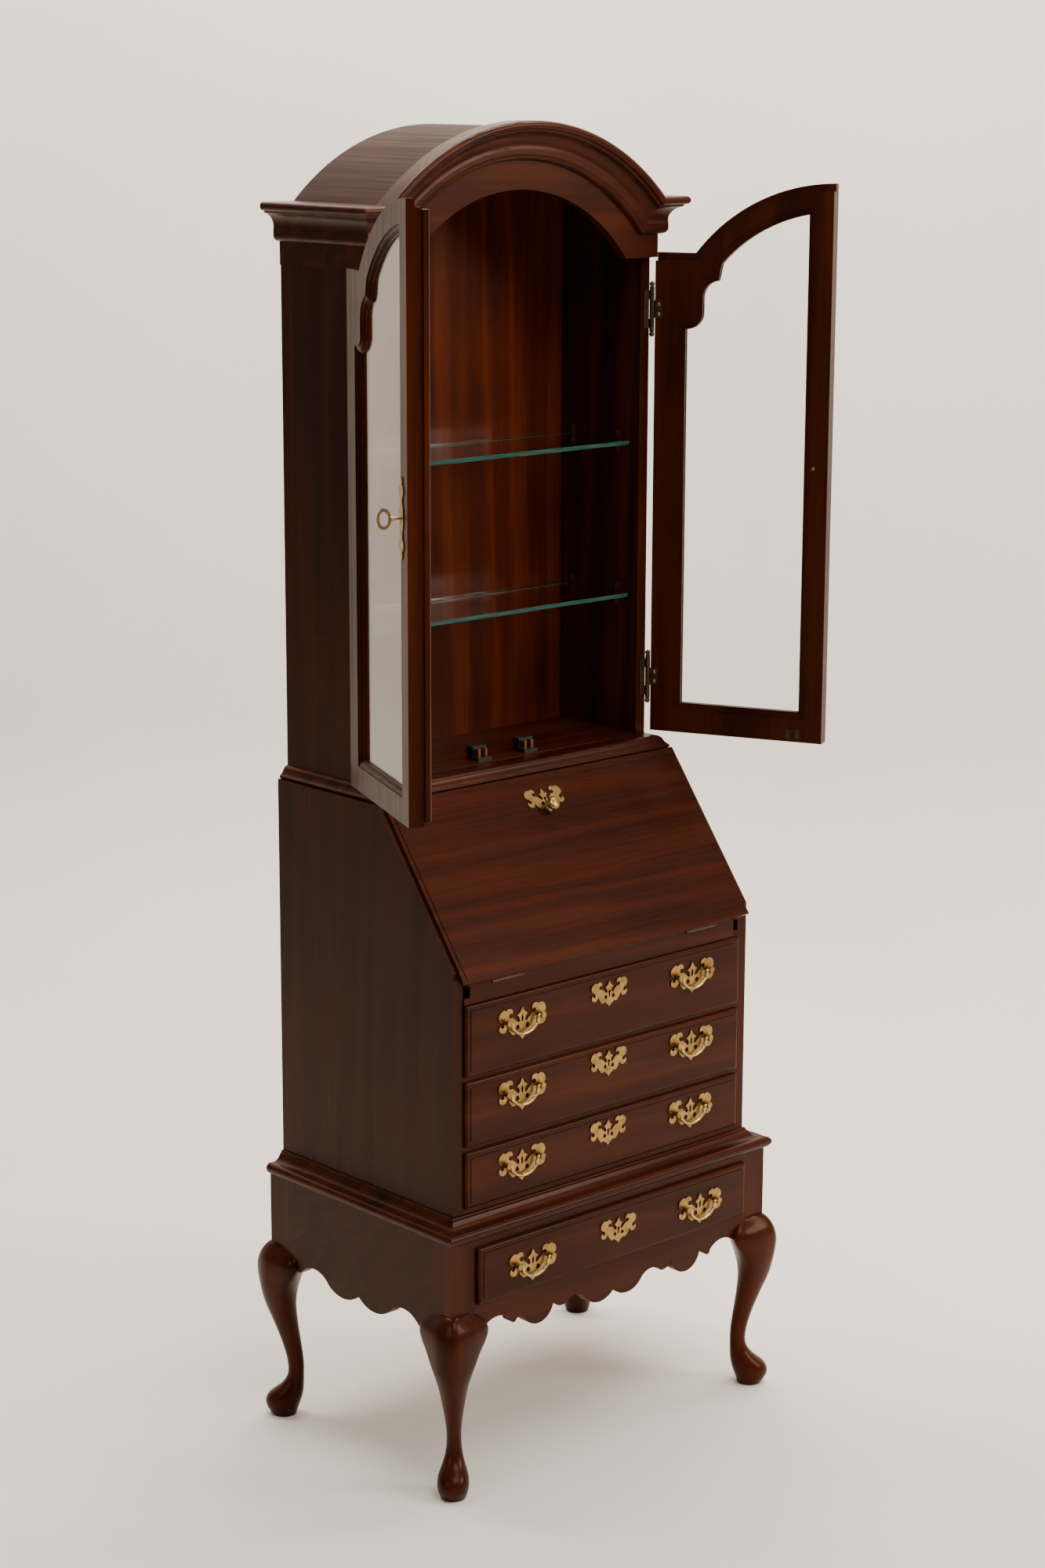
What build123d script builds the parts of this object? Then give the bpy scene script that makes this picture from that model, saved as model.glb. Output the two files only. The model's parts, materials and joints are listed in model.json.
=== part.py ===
from build123d import *
import math
import os

# Secretary desk: a slant-front writing case on a stand with four cabriole legs, and an arched
# bookcase with two glazed doors on top. Millimetres. X runs across the desk, the front faces -Y,
# and Z is up from the floor. The origin is on the floor, below the middle of the open desk.
# The doors are modelled closed and then turned to the open angles of the rest pose.

# ---------------------------------------------------------------- driving sizes
BACK = 215.0                      # y of the plane of the desk's back
BOARD = 18.0                      # thickness of the case and bookcase sides
GAP = 0.5                         # clearance between a moving piece and its frame

CASE_HALF = 289.0                 # half the outer width of the writing case
CASE_DEPTH = 382.1
CASE_TOP = 971.1
TOP_DEPTH = 222.2                 # depth left at the top of the slant
SLANT_Z = 761.4                   # where the slant starts on the case front

STAND_HALF = 313.6
STAND_DEPTH = 404.7
STAND_TOP = 395.0
POST_X = 46.0
POST_Y = 41.0
APRON_T = 18.0
APRON_TOP = 289.0                 # top edge of the front apron, below the stand drawer
RAIL_BOTTOM = 361.0               # underside of the rail above the stand drawer

BOOKCASE_HALF = 271.0
BOOKCASE_DEPTH = 180.0
FLOOR_HALF = BOOKCASE_HALF - BOARD
FLOOR_TOP = 991.0                 # top of the bookcase's floor
ARCH_Z = 1541.0                   # height of the centre that all the arches share
VAULT_R = 349.0
VAULT_T = 8.0
FASCIA_T = 15.0
FASCIA_HALF = 272.5
FASCIA_BOTTOM = 1700.0
FASCIA_R = 262.0

DOOR_EDGE = 270.25                # hinge edge of a closed door, from the middle
DOOR_GAP = 0.75                   # from the middle to a door's free edge
DOOR_BOTTOM = 993.5
DOOR_INNER = 186.0                # depths of the closed door's inner face, rebate and outer face
DOOR_REBATE = 195.5
DOOR_OUTER = 207.5
PIN_X = 273.8
PIN_DEPTH = 183.0
LEFT_OPEN = 112.9                 # open angles of the doors in the rest pose, degrees
RIGHT_OPEN = 115.3

WRITING_Z = 739.6                 # writing surface, and the height of the fall's hinge axis
FALL_AXIS_DEPTH = 385.0
FALL_LIP = 5.0
FALL_HALF = 280.0
FALL_BODY_HALF = 269.5
FALL_TOP = 254.0                  # distance up the slant to the fall's top edge

POST_SPACING = 64.0               # between the two posts of a drawer pull
PULL_X = 168.0                    # from the middle to the centre of a pull
PLATE_T = 1.8

# Each row: lip bottom, lip top, opening bottom, opening top, height of the pulls.
DRAWER_ROWS = {
    "drawer_1": (610.1, 713.6, 615.6, 708.0, 675.0),
    "drawer_2": (508.4, 603.0, 513.6, 597.6, 571.0),
    "drawer_3": (418.6, 500.8, 424.6, 495.6, 466.5),
}
STAND_ROW = (283.5, 366.9, APRON_TOP, RAIL_BOTTOM, 323.5)

INSIDE = CASE_HALF - BOARD
SLOPE = math.atan2(CASE_TOP - SLANT_Z, CASE_DEPTH - TOP_DEPTH)
# The hinge axis of the fall, as a distance along the slant and out from it.
FALL_FOOT = -(FALL_AXIS_DEPTH - CASE_DEPTH) * math.cos(SLOPE) - (SLANT_Z - WRITING_Z) * math.sin(SLOPE)
FALL_INNER = (FALL_AXIS_DEPTH - CASE_DEPTH) * math.sin(SLOPE) - (SLANT_Z - WRITING_Z) * math.cos(SLOPE)
FALL_T = FALL_LIP - FALL_INNER


# ---------------------------------------------------------------- helpers
def at(depth):
    """The y of a point this far in front of the desk's back plane."""
    return BACK - depth


def box(x0, x1, y0, y1, z0, z1):
    centre = Pos((x0 + x1) / 2, (y0 + y1) / 2, (z0 + z1) / 2)
    return centre * Box(abs(x1 - x0), abs(y1 - y0), abs(z1 - z0))


def both_sides(shape):
    return [shape, mirror(shape, Plane.YZ)]


def outline(place, start, *steps):
    """Face inside an outline. A step is a point, or a pair (point on arc, arc end)."""
    edges = []
    here = start
    for step in steps:
        if isinstance(step[0], tuple):
            through, end = step
            edges.append(ThreePointArc(place(*here), place(*through), place(*end)))
        else:
            end = step
            edges.append(Line(place(*here), place(*end)))
        here = end
    if math.dist(here, start) > 1e-6:
        edges.append(Line(place(*here), place(*start)))
    return make_face(edges)


def prism(axis, low, high, start, *steps):
    """Extrude an outline from low to high along an axis."""
    places = {"x": lambda a, b: (low, a, b), "y": lambda a, b: (a, low, b), "z": lambda a, b: (a, b, low)}
    along = {"x": (1, 0, 0), "y": (0, 1, 0), "z": (0, 0, 1)}[axis]
    return extrude(outline(places[axis], start, *steps), amount=high - low, dir=along)


def rod(axis, radius, low, high, a, b):
    """A round bar along an axis, centred at (a, b) in the other two directions."""
    middle = (low + high) / 2
    centre = {"x": (middle, a, b), "y": (a, middle, b), "z": (a, b, middle)}[axis]
    turn = {"x": Rot(0, 90, 0), "y": Rot(90, 0, 0), "z": Rot(0, 0, 0)}[axis]
    return Pos(*centre) * turn * Cylinder(radius, abs(high - low))


def on_arch(radius, x):
    """Height of the arch of this radius at x."""
    return ARCH_Z + math.sqrt(radius**2 - x**2)


def arch_arc(radius, x0, x1):
    """The arc step from x0 to x1 along an arch."""
    middle = (math.asin(x0 / radius) + math.asin(x1 / radius)) / 2
    through = (radius * math.sin(middle), ARCH_Z + radius * math.cos(middle))
    return (through, (x1, on_arch(radius, x1)))


def slant(along, out):
    """Point (y, z) at a distance up the slant and out from its face."""
    depth = CASE_DEPTH - along * math.cos(SLOPE) + out * math.sin(SLOPE)
    return (at(depth), SLANT_Z + along * math.sin(SLOPE) + out * math.cos(SLOPE))


def save(name, *pieces):
    solids = [solid for piece in pieces for solid in piece.solids()]
    shape = solids[0] if len(solids) == 1 else Compound(children=solids)
    export_step(shape, f"parts/{name}.step")


# ---------------------------------------------------------------- stand
def front_apron():
    """Board between the front posts; its lower edge is a run of arches, lobes and cusps."""
    half = STAND_HALF - POST_X
    # Middle and end of each arc of the right half, from the post to the centre.
    arcs = [
        ((226.0, 254.5), (201.0, 243.0)), ((198.0, 237.5), (190.0, 241.0)), ((184.0, 243.0), (178.0, 247.2)),
        ((149.0, 222.5), (119.0, 246.0)), ((112.0, 240.0), (98.0, 237.5)), ((78.0, 246.5), (58.0, 238.0)),
        ((27.0, 222.0), (0.0, 234.0)),
    ]
    start = (250.0, 246.0)
    starts = [start] + [end for _, end in arcs[:-1]]
    mirrored = [((-middle[0], middle[1]), (-begin[0], begin[1])) for begin, (middle, _) in zip(starts, arcs)]
    outline = [(half, start[1]), start] + arcs + mirrored[::-1] + [(-half, start[1]), (-half, APRON_TOP)]
    return prism("y", at(STAND_DEPTH), at(STAND_DEPTH - APRON_T), (half, APRON_TOP), *outline)


def side_apron():
    """Board between the right posts; its lower edge has two arches and two lobes that meet in a cusp."""
    front = at(STAND_DEPTH - POST_Y)
    rear = at(POST_Y)
    middle = (front + rear) / 2
    foot = 243.0
    outline = [
        (rear, foot), (middle + 133.0, foot),
        ((middle + 103.0, 258.0), (middle + 68.0, foot)), ((middle + 35.0, 232.5), (middle, 246.0)),
        ((middle - 35.0, 232.5), (middle - 68.0, foot)), ((middle - 103.0, 258.0), (middle - 133.0, foot)),
        (front, foot), (front, STAND_TOP),
    ]
    return prism("x", STAND_HALF - APRON_T, STAND_HALF, (rear, STAND_TOP), *outline)


def leg():
    """Front right leg: a square post over a cabriole knee, ankle and pad foot, on the diagonal."""
    centre = (STAND_HALF - POST_X / 2, at(STAND_DEPTH - POST_Y / 2))
    diagonal = math.sqrt(0.5)
    # Each row: height, outer reach, inner reach and half width along the diagonal,
    # where the section is widest, and how pointed it is (1 is an ellipse, 2 a diamond).
    rows = [
        (0.0, 33.0, -3.0, 18.0, 15.0, 1.0),
        (10.0, 40.0, -6.0, 21.2, 16.0, 1.0),
        (21.0, 43.0, -10.0, 22.7, 16.5, 1.0),
        (32.0, 38.0, -13.0, 21.5, 13.0, 1.0),
        (44.0, 23.0, -14.5, 17.0, 5.0, 1.0),
        (60.0, 10.5, -15.0, 12.4, -2.0, 1.0),
        (80.0, 9.0, -15.0, 10.5, -3.0, 1.0),
        (105.0, 14.5, -12.5, 11.6, 1.0, 1.0),
        (130.0, 23.0, -9.0, 15.0, 5.0, 1.05),
        (155.0, 33.0, -6.0, 19.0, 10.0, 1.1),
        (180.0, 43.0, -5.0, 25.0, 14.0, 1.15),
        (200.0, 48.0, -8.0, 32.0, 12.0, 1.2),
        (220.0, 51.5, -14.0, 39.0, 2.0, 1.25),
        (240.0, 52.0, -20.0, 46.5, -8.0, 1.3),
        (258.0, 46.0, -22.0, 42.0, -10.0, 1.3),
        (274.0, 30.0, -22.0, 28.0, -8.0, 1.3),
    ]
    faces = []
    for height, outer, inner, half, widest, point in rows:
        ring = []
        for step in range(12):
            turn = math.radians(30 * step)
            reach = math.copysign(abs(math.cos(turn))**point, math.cos(turn))
            span = outer - widest if reach > 0 else widest - inner
            across = half * math.copysign(abs(math.sin(turn))**point, math.sin(turn))
            out = widest + span * reach
            right, rearward = (out + across) * diagonal, (across - out) * diagonal
            ring.append((centre[0] + right, centre[1] + rearward, height))
        faces.append(make_face(Spline(*ring, periodic=True)))
    shape = loft(faces)
    post = box(STAND_HALF - POST_X, STAND_HALF, at(STAND_DEPTH), at(STAND_DEPTH - POST_Y), 240.0, STAND_TOP)
    return shape + post


def mitred(profile, half, front, rear):
    """Moulding of front and side pieces round a box: profile points are (out, z) with arcs as pairs."""
    reach = 60.0

    def moved(step, place):
        if isinstance(step[0], tuple):
            return (place(*step[0]), place(*step[1]))
        return place(*step)

    front_steps = [moved(step, lambda out, z: (front - out, z)) for step in profile]
    front_run = prism("x", -half - reach, half + reach, *front_steps)
    corner = [(half, front), (half + reach, front - reach), (-half - reach, front - reach), (-half, front)]
    z0, z1 = 300.0, 1950.0
    front_run = front_run & prism("z", z0, z1, *corner)
    side_steps = [moved(step, lambda out, z: (half + out, z)) for step in profile]
    side_run = prism("y", front - reach, rear, *side_steps)
    wedge = [(half, front), (half + reach, front - reach), (half + reach, rear), (half, rear)]
    side_run = side_run & prism("z", z0, z1, *wedge)
    return [front_run] + both_sides(side_run)


def stand():
    front = at(STAND_DEPTH)
    inner = STAND_HALF - POST_X
    apron = front_apron()
    side = side_apron()
    back = box(-inner, inner, at(APRON_T), BACK, 243.0, RAIL_BOTTOM)
    save("front_apron", apron)
    save("side_and_back_aprons", *both_sides(side), back)
    right_front = leg() - apron - side
    right_back = mirror(leg(), Plane.XZ.offset(-at(STAND_DEPTH / 2))) - side - back
    save("leg_front_right", right_front)
    save("leg_back_right", right_back)
    save("leg_front_left", mirror(right_front, Plane.YZ))
    save("leg_back_left", mirror(right_back, Plane.YZ))
    front_rail = box(-inner, inner, front, front + POST_Y, RAIL_BOTTOM, STAND_TOP)
    back_rail = box(-inner, inner, BACK - POST_Y, BACK, RAIL_BOTTOM, STAND_TOP)
    side_rail = box(inner, STAND_HALF - APRON_T, front + POST_Y, BACK - POST_Y, RAIL_BOTTOM, STAND_TOP)
    save("stand_top_rail", front_rail, back_rail, *both_sides(side_rail))
    runner = box(245.0, STAND_HALF - APRON_T, front + POST_Y, BACK - POST_Y, APRON_TOP - 12.0, APRON_TOP)
    guide = box(inner, STAND_HALF - APRON_T, front + POST_Y, BACK - POST_Y, APRON_TOP, APRON_TOP + 30.0)
    save("drawer_runners", *both_sides(runner), *both_sides(guide))
    profile = [
        (0.0, STAND_TOP), (0.0, 410.0), ((3.0, 409.6), (4.0, 406.5)), (5.5, 406.0), (7.0, 403.5),
        ((14.0, 396.5), (22.0, 395.5)), ((29.5, 394.0), (32.0, 390.0)), ((31.0, 384.5), (24.6, 379.0)),
        (24.6, STAND_TOP),
    ]
    save("stand_moulding", *mitred(profile, CASE_HALF, at(CASE_DEPTH), BACK))


# ---------------------------------------------------------------- writing case
def case():
    outline = [(BACK, STAND_TOP), (at(CASE_DEPTH), STAND_TOP), (at(CASE_DEPTH), SLANT_Z),
               (at(TOP_DEPTH), CASE_TOP), (BACK, CASE_TOP)]
    side = prism("x", INSIDE, CASE_HALF, *outline)
    save("case_side_right", side)
    save("case_side_left", mirror(side, Plane.YZ))
    back_face = at(12.0)
    save("case_back", box(-INSIDE, INSIDE, back_face, at(4.0), STAND_TOP, CASE_TOP - BOARD))
    levels = (406.6, 495.6, 597.6)
    boards = [box(-INSIDE, INSIDE, at(CASE_DEPTH), back_face, z, z + BOARD) for z in levels]
    save("case_bottom_and_dust_boards", *boards)
    top_steps = [(BACK, CASE_TOP - BOARD), slant((CASE_TOP - BOARD - SLANT_Z) / math.sin(SLOPE), 0.0),
                 (at(TOP_DEPTH), CASE_TOP), (BACK, CASE_TOP)]
    floor = box(-FLOOR_HALF, FLOOR_HALF, at(BOOKCASE_DEPTH), back_face, FLOOR_TOP - BOARD, FLOOR_TOP)
    save("case_top_and_bookcase_floor", prism("x", -INSIDE, INSIDE, *top_steps), floor)


RAIL_HALF = 259.5
RAIL_BACK = 365.0                 # depth of the back of the rail under the fall
LOPER_TOP = 723.4
LOPER_BOTTOM = 714.2              # clear of the lip of the drawer below
FALL_HINGE_X = 190.0              # from the middle to the middle of a fall hinge
LEAF_T = 1.8
LEAF_START = 2.9                  # from a fall hinge's axis to its leaves, clear of the barrel


def fall_hinge_room():
    """The round recess that the right fall hinge's barrel turns in."""
    return rod("x", 2.7, FALL_HINGE_X - 30.5, FALL_HINGE_X + 30.5, at(FALL_AXIS_DEPTH), WRITING_Z)


def fixed_leaf():
    """The right fall hinge's leaf, let into the writing surface, with the tongue to its knuckle."""
    low = WRITING_Z - LEAF_T
    start = at(FALL_AXIS_DEPTH - LEAF_START)
    leaf = box(FALL_HINGE_X - 30.0, FALL_HINGE_X + 30.0, start, at(FALL_AXIS_DEPTH - 29.0), low, WRITING_Z)
    return leaf + box(FALL_HINGE_X - 14.85, FALL_HINGE_X + 14.85, at(FALL_AXIS_DEPTH), start, low, WRITING_Z)


def writing_surface():
    rail_front = at(FALL_AXIS_DEPTH - GAP)
    rail_back = at(RAIL_BACK)
    rail = box(-RAIL_HALF, RAIL_HALF, rail_front, rail_back, 714.5, WRITING_Z)
    rail += box(-RAIL_HALF, RAIL_HALF, at(CASE_DEPTH), rail_back, 708.0, 714.5)
    board = box(-INSIDE, INSIDE, rail_back, at(12.0), 724.6, WRITING_Z)
    for room in both_sides(fall_hinge_room()) + both_sides(fixed_leaf()):
        rail -= room
        board -= room
    shelf = box(252.0, INSIDE, rail_back, at(60.0), 708.0, LOPER_BOTTOM - GAP)
    guide = box(252.0, RAIL_HALF - GAP, rail_back, at(60.0), LOPER_BOTTOM - GAP, 724.6)
    save("loper_rail", rail, *both_sides(shelf), *both_sides(guide))
    save("writing_board", board)
    loper = box(RAIL_HALF + 0.2, INSIDE - GAP, rail_front, at(85.0), LOPER_BOTTOM, LOPER_TOP)
    save("loper_right", loper)
    save("loper_left", mirror(loper, Plane.YZ))


GALLERY_FRONT = 190.0
THIN = 6.0
CUBBY_Z = 805.0                   # underside of the pigeonholes, above the small drawers
SMALL_DRAWER_IN = 95.0            # inner end of a small drawer, from the middle


def gallery():
    """Pigeonholes over two small drawers, standing on the writing board behind the fall."""
    front = at(GALLERY_FRONT)
    rear = at(12.0)
    top = CASE_TOP - BOARD
    shelf = box(-INSIDE, INSIDE, front, rear, CUBBY_Z, CUBBY_Z + THIN)
    walls = []
    for x in (-181.0, -91.0, 91.0, 181.0):
        walls.append(box(x - THIN / 2, x + THIN / 2, front, rear, CUBBY_Z + THIN, top))
    for x in (-91.0, 91.0):
        walls.append(box(x - THIN / 2, x + THIN / 2, front, rear, WRITING_Z, CUBBY_Z))
    middle = box(-88.0, 88.0, front, rear, 878.0, 878.0 + THIN)
    save("gallery", shelf, middle, *walls)
    drawer = small_drawer()
    save("gallery_drawer_right", *drawer)
    save("gallery_drawer_left", *[mirror(piece, Plane.YZ) for piece in drawer])


def small_drawer():
    x0, x1 = SMALL_DRAWER_IN, INSIDE - 1.0
    z0, z1 = WRITING_Z + GAP, CUBBY_Z - 1.0
    y0, y1 = at(GALLERY_FRONT), at(20.0)
    wall = 5.0
    face = box(x0, x1, y0, y0 + 9.0, z0, z1)
    left = box(x0, x0 + wall, y0 + 9.0, y1, z0, z1 - 6.0)
    right = box(x1 - wall, x1, y0 + 9.0, y1, z0, z1 - 6.0)
    rear = box(x0 + wall, x1 - wall, y1 - wall, y1, z0, z1 - 6.0)
    floor = box(x0 + wall, x1 - wall, y0 + 9.0, y1 - wall, z0 + 2.0, z0 + 6.0)
    middle = ((x0 + x1) / 2, (z0 + z1) / 2)
    stem = rod("y", 3.0, y0 - 7.0, y0, *middle)
    ball = Pos(middle[0], y0 - 10.0, middle[1]) * Sphere(6.0)
    return [face, left, right, rear, floor, stem + ball]


# ---------------------------------------------------------------- brass and hinges
def turned(start, *steps):
    """A solid of revolution about Z, from an outline in (radius, height)."""
    return revolve(outline(lambda radius, height: (radius, 0, height), start, *steps), Axis.Z)


def knuckles(axis, radius, pin, outer, inner, a, b, middle):
    """Barrel of a three-knuckle hinge: the two end knuckles, then the one between them."""
    ends = rod(axis, radius, middle - outer, middle - inner - 0.15, a, b)
    ends += rod(axis, radius, middle + inner + 0.15, middle + outer, a, b)
    centre = rod(axis, radius, middle - inner + 0.15, middle + inner - 0.15, a, b)
    shaft = rod(axis, pin, middle - outer, middle + outer, a, b)
    bore = rod(axis, pin + 0.05, middle - outer, middle + outer, a, b)
    return ends, centre, shaft, bore


def wing_plate(width, height):
    """Pierced brass plate on Z = 0: a central spire between two scrolled wings, and a finial below."""
    right = [
        ((2.2, 15.9), (4.5, 11.8)), ((7.5, 10.1), (10.5, 7.8)), ((6.7, 5.3), (5.5, 1.3)),
        ((6.7, -1.9), (9.5, -1.2)), ((13.5, 2.3), (19.5, 7.0)), ((24.5, 6.9), (27.0, 10.3)),
        ((24.5, 13.1), (20.0, 12.1)), ((19.5, 17.3), (24.0, 19.8)), ((28.5, 20.1), (31.5, 17.8)),
        ((36.0, 19.8), (40.5, 18.3)), ((45.0, 14.3), (46.0, 7.8)), ((43.5, 4.3), (39.0, 2.3)),
        ((36.0, -0.7), (36.5, -4.7)), ((40.0, -5.3), (42.5, -1.7)), ((45.6, -5.7), (43.0, -10.7)),
        ((37.5, -12.9), (32.0, -11.2)), ((30.3, -8.5), (27.5, -7.2)), ((25.6, -12.2), (21.5, -16.2)),
        ((16.5, -19.2), (12.0, -16.2)), ((11.2, -18.7), (9.0, -20.2)), ((6.2, -21.5), (4.0, -23.7)),
        ((2.2, -25.3), (0.0, -27.7)),
    ]
    wide, high = width / 92.0, height / 47.3
    arcs = [((x0 * wide, y0 * high), (x1 * wide, y1 * high)) for (x0, y0), (x1, y1) in right]
    top = (0.0, 19.6 * high)
    starts = [top] + [end for _, end in arcs[:-1]]
    mirrored = [((-middle[0], middle[1]), (-begin[0], begin[1])) for begin, (middle, _) in zip(starts, arcs)]
    plate = prism("z", 0.0, PLATE_T, top, *arcs, *mirrored[::-1])
    ring = ((5.5, -10.0), (9.0, -12.5), (13.0, -10.5), (12.5, -6.5), (7.5, -5.5))
    eye = [(x * wide, y * high) for x, y in ring]
    eye = prism("z", 0.0, PLATE_T, eye[0], (eye[1], eye[2]), (eye[3], eye[4]))
    for piece in both_sides(eye):
        plate -= piece
    return plate


def spire_slot():
    """Opening in the spire of a pull's plate."""
    return prism("z", 0.0, PLATE_T, (-1.4, -1.0), ((0.0, -2.4), (1.4, -1.0)), (2.0, 4.5), (0.0, 9.5),
                 (-2.0, 4.5))


def keyhole(low, high):
    return rod("z", 2.4, low, high, 0.0, 0.0) + box(-1.3, 1.3, -8.0, 0.0, low, high)


PIVOT_OUT = 7.5                   # from the drawer's face to the axis of a bail
POST_UP = 3.0                     # posts above the centre of their plate


def pull_plate():
    plate = wing_plate(88.0, 47.3) - spire_slot()
    half = POST_SPACING / 2
    for side in (1, -1):
        post = rod("z", 4.4, PLATE_T, 11.5, side * half, POST_UP)
        bore = rod("x", 2.2, side * half - side * 6.0, side * half + side * 1.5, POST_UP, PIVOT_OUT)
        plate += post - bore
    return plate


def bail():
    """Drop handle whose ends turn in the bores of the two posts."""
    half = POST_SPACING / 2
    points = [(half + 1.0, 0.0), (half - 8.0, 0.0), (half - 9.0, -10.5), (half - 18.0, -18.0), (4.0, -21.0)]
    route = [(x, y + POST_UP, PIVOT_OUT) for x, y in points + [(-x, y) for x, y in reversed(points)]]
    path = FilletPolyline(*route, radius=3.9)
    return sweep(Plane(origin=path @ 0, z_dir=path % 0) * Circle(2.15), path=path)


def on_front(piece, x, depth, z):
    """Carry a piece from the ground plane (Z out) to a vertical front face at this depth."""
    return Pos(x, at(depth), z) * Rot(90, 0, 0) * piece


# ---------------------------------------------------------------- fall
def on_fall(piece):
    """Carry a piece from the ground plane (y up the slant, z out) to the fall's outer face."""
    y, z = slant(0.0, FALL_LIP)
    return Pos(0, y, z) * Rot(math.degrees(SLOPE), 0, 0) * piece


def along_slant(half, along0, along1, out0, out1):
    corners = [slant(along0, out0), slant(along1, out0), slant(along1, out1), slant(along0, out1)]
    return prism("x", -half, half, *corners)


FALL_BORDER = 7.0                 # width of the sunk border round the fall's face
STEP = 1.0                        # how far a border is below the field it frames


def fall():
    body = along_slant(FALL_BODY_HALF, FALL_FOOT, 238.5, FALL_INNER, 0.3)
    board = body + along_slant(FALL_HALF, FALL_FOOT, FALL_TOP, 0.3, FALL_LIP - STEP)
    field = (FALL_FOOT + FALL_BORDER, FALL_TOP - FALL_BORDER)
    board += along_slant(FALL_HALF - FALL_BORDER, *field, FALL_LIP - STEP, FALL_LIP)
    x0, x1 = FALL_HINGE_X - 30.0, FALL_HINGE_X + 30.0
    leaf = on_fall(box(x0, x1, FALL_FOOT + LEAF_START, FALL_FOOT + 29.0, -FALL_T, LEAF_T - FALL_T))
    lock = on_fall(box(-32.0, 32.0, 196.0, 234.0, -FALL_T, 7.0 - FALL_T))
    knob_along = 207.5
    spindle = rod("z", 2.5, 7.0 - FALL_T, 2.0, 0.0, knob_along)
    recess = on_fall(box(x0, x1, FALL_FOOT, FALL_FOOT + LEAF_START, -FALL_T, LEAF_T - FALL_T))
    hinge_rooms = both_sides(fall_hinge_room()) + both_sides(leaf) + both_sides(recess)
    for room in hinge_rooms + [lock, on_fall(spindle)]:
        board -= room
    save("fall_board", board)
    plate = Pos(0, 222.0, 0) * (wing_plate(70.0, 39.0) - keyhole(0.0, PLATE_T)) - spindle
    knob = turned((0.0, 2.0), (6.5, 2.0), ((4.0, 5.0), (4.0, 9.0)), ((10.0, 14.0), (5.5, 19.0)), (0.0, 20.0))
    save("fall_brass", on_fall(plate), lock, on_fall(spindle + Pos(0, knob_along, 0) * knob))
    axis = (at(FALL_AXIS_DEPTH), WRITING_Z, FALL_HINGE_X)
    ends, centre, shaft, bore = knuckles("x", 2.2, 0.9, 30.0, 15.0, *axis)
    moving = leaf + ends
    for low, high in ((x0, x0 + 14.85), (x1 - 14.85, x1)):
        moving += on_fall(box(low, high, FALL_FOOT, FALL_FOOT + LEAF_START, -FALL_T, LEAF_T - FALL_T))
    save("fall_hinge_leaves", *both_sides(moving - bore))
    return both_sides(fixed_leaf() + centre + shaft)


# ---------------------------------------------------------------- drawers
DRAWER_BORDER = 8.5               # width of the moulded border round a drawer's front


def drawer(name, row, half, lip_back, lip_front, rear, box_half):
    """Lipped front, four-board box and bottom, its brass, and its two bails."""
    lip_low, lip_high, low, high, pull_z = row
    low += GAP
    high -= GAP
    body_back = lip_back - 16.0
    front = box(-half, half, at(lip_back), at(body_back), low, high)
    lip = box(-half, half, at(lip_front - STEP), at(lip_back), lip_low, lip_high)
    rim = lip.faces().sort_by(Axis.Y)[0].edges()
    front += fillet(rim, radius=4.0)
    front += box(DRAWER_BORDER - half, half - DRAWER_BORDER, at(lip_front), at(lip_front - STEP),
                 lip_low + DRAWER_BORDER, lip_high - DRAWER_BORDER)
    wall = 10.0
    top = high - 8.0
    side = box(box_half - wall, box_half, at(body_back), at(rear), low, top)
    back = box(-box_half + wall, box_half - wall, at(rear + wall), at(rear), low, top)
    floor = box(-box_half + wall, box_half - wall, at(body_back), at(rear + wall), low + 4.0, low + 10.0)
    save(name, front, *both_sides(side), back, floor)
    lock_z = pull_z + 8.0
    plates = [on_front(pull_plate(), x, lip_front, pull_z) for x in (-PULL_X, PULL_X)]
    escutcheon = on_front(wing_plate(70.0, 39.0) - keyhole(0.0, PLATE_T), 0.0, lip_front, lock_z)
    lock = box(-26.0, 26.0, at(body_back), at(body_back - 9.0), high - 36.0, high - 8.0)
    save(f"{name}_brass", *plates, escutcheon, lock)
    save(f"{name}_bail_left", on_front(bail(), -PULL_X, lip_front, pull_z))
    save(f"{name}_bail_right", on_front(bail(), PULL_X, lip_front, pull_z))


def drawers():
    for name, row in DRAWER_ROWS.items():
        drawer(name, row, INSIDE - 1.0, CASE_DEPTH + GAP, CASE_DEPTH + 7.0, 60.0, INSIDE - 1.0)
    drawer("stand_drawer", STAND_ROW, 267.0, STAND_DEPTH + GAP, STAND_DEPTH + 8.0, 60.0, 266.5)


# ---------------------------------------------------------------- bookcase
CATCH_X = 45.0                    # from the middle to a roller catch and its strike
SHELF_T = 6.0
CLIP_T = 1.6


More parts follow.
